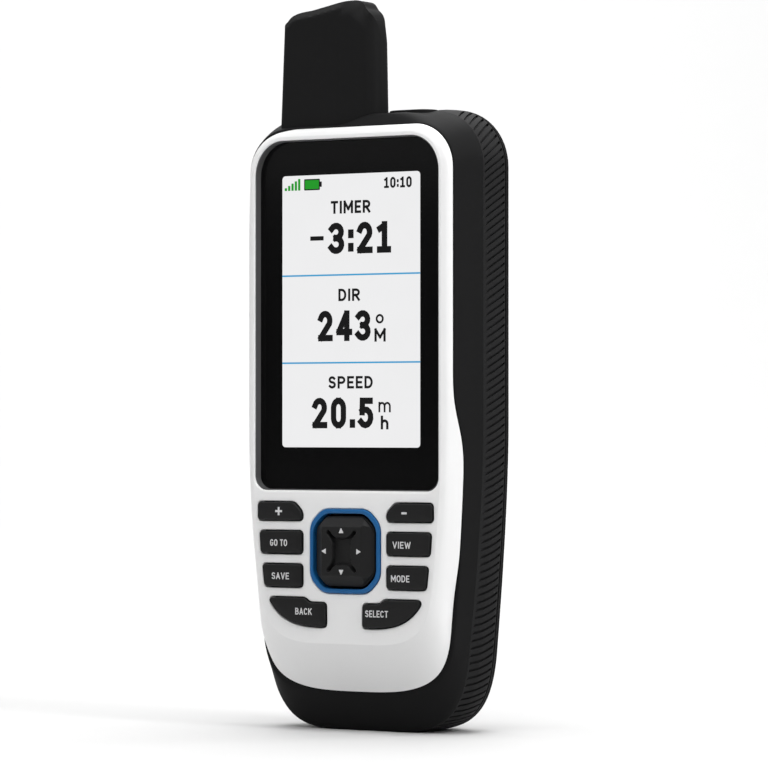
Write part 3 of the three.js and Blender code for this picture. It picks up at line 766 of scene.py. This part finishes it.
def make_rear_cover():
    start = REAR_SEAM + SEAM_GAP
    # A tongue and a raised land close the seam under its groove.
    rim = [(16.1, 2.95), (17.03, 2.95), (17.03, 0.8), (start, 0.8), (start, 0.25),
           (start + 0.04, 0.09), (start + 0.14, 0.02)]
    loops = [SKIN.ring(depth, inset) for depth, inset in rim]
    loops += [SKIN.ring(depth) for depth in np.linspace(start + 0.3, 30, 22)]
    loops += [SKIN.ring(depth) for depth in (30.3, 30.6, 30.8, 30.92)]
    cover = solid("rear_shell", [*loops, SKIN.ring(CASE_BACK)])
    inner = [(15, start, WALL), (20, 20, 3.6), (23, 24, 2.6), (26.5, 28, 2.4), (28.6, 30.4, 2)]
    loops = []
    for depth, source, inset in inner:
        loops.append(SKIN.ring(source, inset))
        loops[-1][:, 1] = depth
    bosses = [bore("boss", x, z, 4.5, 14, 32) for x, z in SCREW_PLACES]
    tools = [cut(solid("cavity", loops), bosses)]
    for x, z in SCREW_PLACES:
        tools += [bore("pocket", x, z, 3.1, 20.5, 33), bore("shank", x, z, 1.5, 16, 21)]
    tools.append(prism("label_well", rectangle(*LABEL_BOX, 1.8), [(0, 30.3), (0, 32)]))
    tools.append(prism("port_well", rectangle(*PORT_BOX, 1.2), [(0, 26), (0, 32)]))
    tools.append(bore("vent_well", 0, VENT_Z, 2.8, 30.2, 32))
    cover = cut(cover, tools, sharp=28)
    wear(cover, BLACK, "rear_cover")


# ---------- keys and rocker
def crown(outline, depth, rise, reach):
    """Height of a softly domed top: full depth inside, falling by rise at the edge."""
    return lambda points: depth + rise * (1 - smooth(0, reach, edge_distance(points, outline)))


def make_key(name, outline):
    rise = 0.14
    top = crown(grow(outline, -0.3), KEY_TOP, rise, 1.5)
    steps = [*round_edge(0.32, KEY_TOP + rise), (0, 0), (-0.6, 0), (-0.6, 0.7), (0, 0.7), (0, 1.1)]
    key = prism(name + "_cap", outline, steps, height=top, spacing=0.4, sharp=50)
    wear(key, KEY, name, name)


def bow(cx, cz, rx, rz, start, end):
    return list(arc(cx, cz, rx, rz, start, end, 11))


def oval(rise):
    """Two half rounds with straight sides between ends of the given rise."""
    return [[*bow(0.5, 1 - rise, 0.5, rise, 90, side), *bow(0.5, rise, 0.5, rise, side, foot)]
            for side, foot in ((180, 270), (0, -90))]


def hook(end):
    return [*bow(0.5, 0.62, 0.5, 0.38, 40, 180), *bow(0.5, 0.38, 0.5, 0.38, 180, end)]


STEM = [(0, 0), (0, 1)]
LEAF = [(0, 1), *bow(0.5, 0.73, 0.5, 0.27, 90, -90), (0, 0.46)]
GLYPHS = {                          # width over height, then centre lines in a unit box
    "0": (0.5, *oval(0.3)),
    "1": (0.46, [(0.58, 0), (0.58, 1)], [(0.5, 0.94), (0.08, 0.84)], [(0.05, 0), (1, 0)]),
    "2": (0.49, [*bow(0.47, 0.72, 0.5, 0.28, 160, -28), (0.03, 0.03)], [(0, 0), (1, 0)]),
    "3": (0.49, bow(0.44, 0.755, 0.52, 0.245, 148, -90), bow(0.44, 0.255, 0.56, 0.255, 90, -150)),
    "4": (0.53, [(0.74, 0), (0.74, 1)], [(0.68, 0.97), (0.03, 0.29)], [(0, 0.24), (1, 0.24)]),
    "5": (0.49, [(0.12, 1), (0.92, 1)], [(0.12, 1), (0.09, 0.53)],
          bow(0.42, 0.32, 0.56, 0.32, 126, -145)),
    ":": (0.17, [(0.5, 0.08), (0.5, 0.17)], [(0.5, 0.62), (0.5, 0.71)]),
    ".": (0.17, [(0.5, 0.02), (0.5, 0.11)]),
    " ": (0.2,),
    "A": (0.56, [(0, 0), (0.5, 1)], [(1, 0), (0.5, 1)], [(0.2, 0.3), (0.8, 0.3)]),
    "B": (0.52, STEM, [(0, 1), *bow(0.5, 0.76, 0.4, 0.24, 90, -90), (0, 0.52)],
          [(0, 0.52), *bow(0.55, 0.26, 0.45, 0.26, 90, -90), (0, 0)]),
    "C": (0.54, hook(320)),
    "D": (0.55, STEM, [(0, 1), *bow(0.4, 0.5, 0.6, 0.5, 90, -90), (0, 0)]),
    "E": (0.46, STEM, [(0, 1), (1, 1)], [(0, 0.5), (0.85, 0.5)], [(0, 0), (1, 0)]),
    "G": (0.56, hook(360), [(1, 0.44), (0.6, 0.44)]),
    "I": (0.16, [(0.5, 0), (0.5, 1)]),
    "K": (0.54, STEM, [(0.05, 0.38), (0.95, 1)], [(0.35, 0.58), (1, 0)]),
    "L": (0.44, STEM, [(0, 0), (1, 0)]),
    "M": (0.68, STEM, [(1, 0), (1, 1)], [(0, 1), (0.5, 0.3)], [(1, 1), (0.5, 0.3)]),
    "O": (0.58, *oval(0.4)),
    "P": (0.52, STEM, LEAF),
    "R": (0.54, STEM, LEAF, [(0.45, 0.46), (1, 0)]),
    "S": (0.5, [*bow(0.5, 0.755, 0.46, 0.245, 32, 270), *bow(0.5, 0.255, 0.5, 0.255, 90, -148)]),
    "T": (0.52, [(0, 1), (1, 1)], [(0.5, 0), (0.5, 1)]),
    "V": (0.56, [(0, 1), (0.5, 0)], [(1, 1), (0.5, 0)]),
    "W": (0.78, [(0, 1), (0.25, 0)], [(0.25, 0), (0.5, 0.85)], [(0.5, 0.85), (0.75, 0)],
          [(0.75, 0), (1, 1)]),
    "h": (0.55, STEM, [(0, 0.3), *bow(0.5, 0.4, 0.5, 0.26, 180, 0), (1, 0)]),
    "m": (1.15, STEM, [*bow(0.25, 0.6, 0.25, 0.4, 180, 0), (0.5, 0)],
          [*bow(0.75, 0.6, 0.25, 0.4, 180, 0), (1, 0)]),
}


def stroke(path, width):
    """Outline of a line of even width with square ends."""
    path = np.array(path, float)
    path = path[np.append(True, np.linalg.norm(np.diff(path, axis=0), axis=1) > 1e-4)]
    for end, before in ((0, 1), (-1, -2)):
        step = path[end] - path[before]
        path[end] += step / np.linalg.norm(step) * width / 2
    step = np.diff(path, axis=0)
    step /= np.linalg.norm(step, axis=1)[:, None]
    ahead, behind = np.vstack([step, step[-1:]]), np.vstack([step[:1], step])
    side = (ahead + behind) / (1 + np.sum(ahead * behind, 1))[:, None] * width / 2
    side = np.stack([-side[:, 1], side[:, 0]], 1)
    return np.concatenate([path - side, (path + side)[::-1]])


def lettering(name, words, middle, size, front, back, weight, gap=0.12):
    """Generic words as thin closed strokes, fitted to a width and height."""
    high = size[1]
    natural = sum(GLYPHS[c][0] for c in words) + gap * (len(words) - 1)
    scale = size[0] / natural
    line = weight * high
    start = middle[0] - size[0] / 2
    pieces = []
    for c in words:
        wide = GLYPHS[c][0] * scale
        for path in GLYPHS[c][1:]:
            x = start + line / 2 + np.array(path)[:, 0] * max(wide - line, 1e-3)
            z = middle[1] - high / 2 + line / 2 + np.array(path)[:, 1] * (high - line)
            outline = stroke(np.stack([x, z], 1), line)
            pieces.append(prism(name, outline, [(0, front), (0, back)]))
        start += wide + gap * scale
    return cut(pieces[0], pieces[1:], "UNION")


LEGEND_HEIGHT, LEGEND_WEIGHT = 1.62, 0.16
LEGENDS = {                         # words, middle, width
    "goto_key": ("GO TO", (-18.9, 45.45), 5),
    "save_key": ("SAVE", (-18.4, 37.4), 5.1),
    "back_key": ("BACK", (-11.6, 28.95), 4.8),
    "view_key": ("VIEW", (16.6, 45.4), 5.1),
    "mode_key": ("MODE", (16.2, 37.4), 5.2),
    "select_key": ("SELECT", (9.5, 28.85), 6.5),
}


def make_legends():
    front, back = KEY_TOP - 0.03, KEY_TOP + 0.1
    for key, (words, middle, width) in LEGENDS.items():
        legend = lettering(key + "_legend", words, middle, (width, LEGEND_HEIGHT), front, back,
                           LEGEND_WEIGHT)
        wear(legend, INK, body=key)
    reach, arm = 1, 0.25
    corner = [(-reach, -arm), (-arm, -arm), (-arm, -reach)]
    plus = np.concatenate([turned(corner, 90 * k) for k in range(4)]) + [-18.9, 53.1]
    minus = rectangle(16.55, 18.05, 52.75, 53.25, 0.1, 3)
    for key, outline in (("zoom_in_key", plus), ("zoom_out_key", minus)):
        sign = prism(key + "_legend", outline, [(0, front), (0, back)])
        wear(sign, INK, body=key)


def cross_recess(points):
    """Signed distance to the rocker's sunk middle: a rounded block with four diagonal arms."""
    p = np.abs(points - [0, ROCKER_Z])
    block = np.maximum(p - [2.2, 2.75], 0)
    body = np.linalg.norm(block, axis=1) - 0.5
    a, b = np.array([1.9, 2.5]), np.array([3.75, 4.55])
    along = np.clip((p - a) @ (b - a) / ((b - a) @ (b - a)), 0, 1)
    arm = np.linalg.norm(p - a - along[:, None] * (b - a), axis=1) - 0.5
    blend = 0.9
    h = np.clip(0.5 + 0.5 * (arm - body) / blend, 0, 1)
    return arm * (1 - h) + body * h - blend * h * (1 - h)


def make_rocker():
    outline = densify(rounded(octagon(8.4, 8.45, 2.9), 1.1), 0.35)
    shoulder, top = -2.3, ROCKER_FRONT + 0.05

    def height(points):
        p = np.abs(points - [0, ROCKER_Z])
        side = (8.2 - p[:, 0]) / 2.6
        end = (8.25 - p[:, 1]) / 2.4
        corner = ((8.2 + 8.25 - 2.8) - p.sum(1)) / math.sqrt(2) / 1.3
        share = np.clip(np.minimum(np.minimum(side, end), corner + 0.12), 0, 1)
        sunk = 1.25 * (1 - smooth(-0.42, 0.1, cross_recess(points)))
        return shoulder + (top - shoulder) * share + sunk

    steps = round_edge(0.25, shoulder, steps=4) + [(0, -1)]
    rocker = prism("rocker_cap", outline, steps, height=height, spacing=0.14, sharp=32)
    stem = bore("stem", 0, ROCKER_Z, 2.2, -1.2, 0.4)
    rocker = cut(rocker, [stem], "UNION", sharp=32)
    wear(rocker, KEY, "rocker_key", "rocker_key")
    head = np.array([(-0.68, -0.55), (0.68, -0.55), (0, 0.72)]) + [0, 4.95]
    for k in range(4):
        outline = rounded(turned(head, 90 * k) + [0, ROCKER_Z], 0.12, 3)
        arrow = prism(f"rocker_arrow_{k + 1}", outline,
                      [(0, ROCKER_FRONT), (0, ROCKER_FRONT + 0.2)])
        wear(arrow, INK, body="rocker_key")


def make_ring():
    top = -2.75
    outer = [(0.35, top), (0.12, top + 0.06), (0, top + 0.25), (0, 0.2)]
    inner = [(0.3, top), (0.1, top + 0.08), (0, top + 0.3), (0, 0.2)]
    ring = prism("rocker_trim", RING_OUTER, outer, [(RING_INNER, inner)])
    wear(even_normals(ring), BLUE, "rocker_ring")


# ---------- window and screen
SCREEN_HALF, SCREEN_LOW, SCREEN_HIGH = 19.9, 68.6, 134.6
PAPER = lit("screen_paper", (0.825, 0.825, 0.832))
DIGIT = lit("screen_digits", (0.006, 0.006, 0.0065))
LINE = lit("screen_lines", (0.05, 0.33, 0.6))
GREEN = lit("screen_green", (0.015, 0.3, 0.02))


def screen_patch(name, outline, layer, material):
    patch = prism(name, outline, [(0, -0.03 * layer), (0, 0.03 - 0.03 * layer)])
    wear(patch, material)


def make_window():
    lens = prism("window_pane", window_outline(0.7), [(0.15, 0), (0, 0.12), (0, 1.5)])
    wear(even_normals(lens), GLASS, "window_lens")
    half, low, high = SCREEN_HALF, SCREEN_LOW, SCREEN_HIGH
    screen_patch("screen_picture", rectangle(-half, half, low, high, 0.9), 1, PAPER)
    for i, z in enumerate((110.25, 89.05)):
        screen_patch(f"screen_line_{i + 1}", rectangle(-half, half, z - 0.2, z + 0.2, 0.1, 3),
                     2, LINE)
    for i in range(5):
        x = -19.2 + i * 0.98
        bar = rectangle(x, x + 0.66, 131, 131.7 + 0.53 * i, 0.08, 3)
        screen_patch(f"signal_bar_{i + 1}", bar, 2, GREEN)
    screen_patch("charge_body", rectangle(-13.5, -8.9, 130.95, 133.7, 0.25), 2, DIGIT)
    screen_patch("charge_tip", rectangle(-8.88, -8.35, 131.7, 133, 0.1, 3), 2, DIGIT)
    screen_patch("charge_level", rectangle(-13.2, -9.2, 131.25, 133.4, 0.15), 3, GREEN)
    words = [
        ("clock", "10:10", (13.56, 132.1), (7.9, 2.6), 0.2),
        ("caption_top", "TIMER", (0, 126.6), (11.4, 3.1), 0.2),
        ("digits_top", "3:21", (2.7, 119.1), (17.9, 7.6), 0.21),
        ("caption_middle", "DIR", (-0.4, 105.4), (6.2, 3), 0.2),
        ("digits_middle", "243", (-1.8, 97.95), (15.2, 7.4), 0.21),
        ("caption_low", "SPEED", (0, 84.3), (12.8, 3), 0.2),
        ("digits_low", "20.5", (-2.2, 76.9), (17.7, 7.4), 0.21),
        ("unit_low_top", "m", (9.8, 78.3), (3.5, 2.5), 0.2),
        ("unit_low_foot", "h", (9.8, 74.6), (2.2, 3.3), 0.2),
        ("unit_middle", "M", (8.5, 95.6), (3.2, 3.2), 0.2)]
    for name, text, middle, size, weight in words:
        piece = lettering(name, text, middle, size, -0.06, -0.03, weight)
        wear(piece, DIGIT)
    screen_patch("minus", rectangle(-11.7, -7.8, 118.7, 119.75, 0.1, 3), 2, DIGIT)
    steps = [(0, -0.06), (0, -0.03)]
    ring = prism("degree", circle(8.4, 99.5, 1.15, 28), steps,
                 [(circle(8.4, 99.5, 0.62, 28), steps)])
    wear(ring, DIGIT)


# ---------- antenna and power key
ANTENNA_FRONT, ANTENNA_WAIST, ANTENNA_DEEP = 0.9, 6.8, 6.7
ANTENNA_FOOT, FACET_FOOT = 144.8, 172.3


def antenna_sides(z):
    """Left and right edge of the antenna at a height: both lean in a little."""
    return -21.5 + (z - 147) * 0.043, 5.8 - (z - 150) * 0.023


def antenna_path():
    """The antenna's outline seen from the front, from its right foot over the top to the left."""
    peak = ANTENNA_TOP
    path = [(5.92, ANTENNA_FOOT), (5.8, 150), (5.42, 166.5)]
    for count, *points in ((12, (5.3, 171.6), (4.6, 173.2), (2.3, 174.6)),
                           (10, (1.2, 175.4), (1.2, peak), (-1.4, peak)),
                           (10, (-3.2, peak), (-9, 175.6), (-13.1, 174.9)),
                           (12, (-17, 174.6), (-19.4, 174.2), (-20.45, 172))):
        path.extend(bezier([path[-1], *points], count)[1:])
    path += [(-20.5, 171), (-21.5, 147), (-21.6, ANTENNA_FOOT)]
    return densify(np.array(path), 0.35, closed=False)


def quarter(distance, radius):
    """Sag of a quarter round: 1 at the edge, 0 from one radius in."""
    return 1 - np.sqrt(np.clip(1 - (1 - np.clip(distance / radius, 0, 1)) ** 2, 0, 1))


def antenna_front(points, path):
    """Depth of the antenna's front face at points given as x and z."""
    x, z = points[:, 0], points[:, 1]
    left, right = antenna_sides(z)
    edge = edge_distance(points, path[path[:, 1] > FACET_FOOT], closed=False)
    plane = ANTENNA_FRONT + 1.5 * np.clip((x + 4.5) / 8.3, 0, 1)
    corner = 3.2 * quarter(right - x, 3) + 1.3 * quarter(x - left, 1.3)
    facet = np.maximum(0, 1.75 - 0.95 * edge)
    scoop = 2.3 * np.clip(1 - edge / 3.6, 0, 1) ** 1.5
    share = smooth(-4.3, -2.9, x + 0.5 * (ANTENNA_TOP - 2.5 - z))
    taken = facet * (1 - share) + scoop * share * (1 - smooth(0.5, 4.5, x))
    return plane + np.maximum(corner, taken)


def antenna_back(points, path):
    x, z = points[:, 0], points[:, 1]
    left, right = antenna_sides(z)
    across = np.clip((2 * x - left - right) / (right - left), -1, 1)
    top = ANTENNA_TOP - 1.8 - 0.16 * np.abs(x + 1.4)
    edge = edge_distance(points, path, closed=False)
    drop = 0.5 * quarter(edge, 5) * smooth(top - 8, top - 3, z)
    return ANTENNA_WAIST + ANTENNA_DEEP * np.sqrt(1 - across ** 2) * (1 - drop)


def make_antenna():
    path = antenna_path()
    normal = np.gradient(path, axis=0)
    normal = np.stack([normal[:, 1], -normal[:, 0]], 1)
    normal /= np.linalg.norm(normal, axis=1)[:, None]
    normal[0], normal[-1] = (1, 0), (-1, 0)
    shell = Shell()

    def loop(inset, depth):
        inner = path - normal * inset
        chord = np.linspace(inner[-1], inner[0], 60)[1:-1]
        flat = np.concatenate([inner, chord])
        return shell.flat(flat, depth(flat, path))

    insets = (0, 0.03, 0.1, 0.22, 0.4, 0.65)
    rings = [loop(inset, antenna_back) for inset in insets[::-1]]
    rings += [loop(inset, antenna_front) for inset in insets]
    shell.skin(rings)
    shell.cap(rings[-1], height=lambda p: antenna_front(p, path), spacing=0.42)
    shell.cap(rings[0], height=lambda p: antenna_back(p, path), spacing=0.6)
    antenna = shell.build("antenna_shell", 34)
    wear(antenna, BLACK, "antenna_housing")


def make_power_key():
    lip = Shell()
    outer, inner = power_outline(1.2), power_outline(0.25)
    foot, top = 148.7, POWER_TOP
    steps = ((outer, foot), (outer, top - 0.3), (grow(outer, -0.1), top - 0.08),
             (grow(outer, -0.3), top), (grow(inner, 0.15), top), (grow(inner, 0.04), top - 0.06),
             (inner, top - 0.2), (inner, foot))
    lip.skin([lip.level(outline, z) for outline, z in steps], closed=True)
    wear(lip.build("power_lip"), BLACK, "power_collar")
    top = POWER_TOP - 0.05
    button = column("power_cap", power_outline(0), [
        (0.5, top), (0.2, top - 0.06), (0.05, top - 0.2), (0, top - 0.45), (0, 149.3)])
    stem = rectangle(POWER_X - 3, POWER_X + 3, POWER_DEPTH - 1, POWER_DEPTH + 1, 0.5)
    button = cut(button, [column("power_stem", stem, [(0, 149.5), (0, 143)])], "UNION")
    wear(even_normals(button), KEY, "power_button", "power_button")


# ---------- back of the unit
def softened(node, name, material, width, segments=3, body=CASE):
    """A CAD node's own solid with its hard edges rounded."""
    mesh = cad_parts[node].data.copy()
    obj = finish_mesh(name, mesh, 30)
    bevel = obj.modifiers.new("soft", "BEVEL")
    bevel.width = width * MM
    bevel.segments = segments
    bevel.limit_method = "ANGLE"
    bevel.angle_limit = math.radians(35)
    wear(even_normals(obj), material, node, body)


def make_screws():
    for i, (x, z) in enumerate(SCREW_PLACES):
        name = f"case_screw_{i + 1}"
        head = prism(name + "_head", circle(x, z, 2.75),
                     [(0, 20.8), (0, 22.2), (0.12, 22.42), (0.4, 22.55)])
        slots = [prism("slot", rectangle(x - wide, x + wide, z - high, z + high, 0.1, 3),
                       [(0, 21.7), (0, 24)]) for wide, high in ((1.5, 0.28), (0.28, 1.5))]
        head = cut(head, slots)
        head = cut(head, [bore("shank", x, z, 1.15, 10, 21.2)], "UNION")
        wear(head, ZINC, name)


def dress_cad_nodes():
    looks = [
        (SEAL, ("window_gasket", "housing_seal", "keypad_sheet")), (GLASS, ("display_module",)),
        (STEEL, ("display_frame", "rf_shield", "power_switch", "usb_connector", "rocker_pivot")),
        (BOARD, ("main_board",)), (CELL, ("battery_pack",)), (CERAMIC, ("antenna_element",)),
        (BLACK, ("battery_bracket", "beeper")), (ZINC, ("spine_screw_1", "spine_screw_2"))]
    for material, nodes in looks:
        for node in nodes:
            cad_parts[node].data.materials.clear()
            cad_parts[node].data.materials.append(material)


def make_back():
    softened("mount_spine", "spine_rail", BLACK, 0.35)
    softened("usb_weather_cap", "usb_flap", KEY, 0.4, body="usb_weather_cap")
    softened("cap_anchor", "usb_flap_anchor", KEY, 0.3)
    softened("label_plate", "blank_label", LABEL, 0.06, 2)
    softened("breather_vent", "vent_disc", SEAL, 0.1, 2)


# ---------- floor and lights
def add_stage():
    near, far, wall, reach, bend = -2.5, 2, 4, 3, 1.2
    profile = [(near, 0), *arc(far, bend, bend, bend, -90, 0, 12), (far + bend, wall)]
    points = [(x, y, z) for y, z in profile for x in (-reach, reach)]
    faces = [(2 * i, 2 * i + 1, 2 * i + 3, 2 * i + 2) for i in range(len(profile) - 1)]
    mesh = bpy.data.meshes.new("backdrop")
    mesh.from_pydata(points, [], faces)
    mesh.shade_smooth()
    backdrop = add_object("backdrop", mesh)
    backdrop.rotation_euler = (0, 0, math.radians(33))
    backdrop.data.materials.append(surface("backdrop", (0.57, 0.57, 0.57), 0.8, grain=5, bump=0,
                                           mottle=0))


def add_light(name, place_at, aim, size, power):
    data = bpy.data.lights.new(name, "AREA")
    data.shape = "RECTANGLE"
    data.size, data.size_y = size
    data.energy = power
    light = add_object(name, data)
    light.location = place_at
    direction = Vector(aim) - Vector(place_at)
    light.rotation_euler = direction.to_track_quat("-Z", "Y").to_euler()


def add_lights():
    world = bpy.data.worlds.new("studio")
    world.use_nodes = True
    put(world.node_tree.nodes["Background"], Color=(1, 1, 1, 1), Strength=0.03)
    bpy.context.scene.world = world
    target = (0, 0, 0.09)
    add_light("near_light", (0.08, -0.3, 0.45), (0, 0, 0.12), (0.4, 0.3), 0.95)
    add_light("side_light", (1.35, -0.2, 0.85), target, (0.35, 1), 12)
    add_light("left_light", (-1.3, -0.5, 0.95), target, (0.5, 1), 6.4)
    add_light("glass_light", (-0.9, -1.4, 0.61), target, (1.2, 0.75), 1.4)
    add_light("top_light", (0.1, 0.15, 1.5), (0, 0.05, 0), (1.3, 1.3), 24)
    add_light("rim_light", (1, 1.1, 0.9), (0, 0, 0.15), (0.4, 0.4), 6)
    add_light("back_light", (-0.9, 1.3, 2), (-1.2, 2.4, 0.4), (2.5, 1), 76)
    bpy.context.scene.view_settings.view_transform = "Standard"


make_bezel()
make_housing()
make_grips()
make_rear_cover()
for key_name, key_outline in KEYS.items():
    make_key(key_name, key_outline)
make_legends()
make_rocker()
make_ring()
make_window()
make_antenna()
make_power_key()
make_back()
make_screws()
dress_cad_nodes()
add_stage()
add_lights()
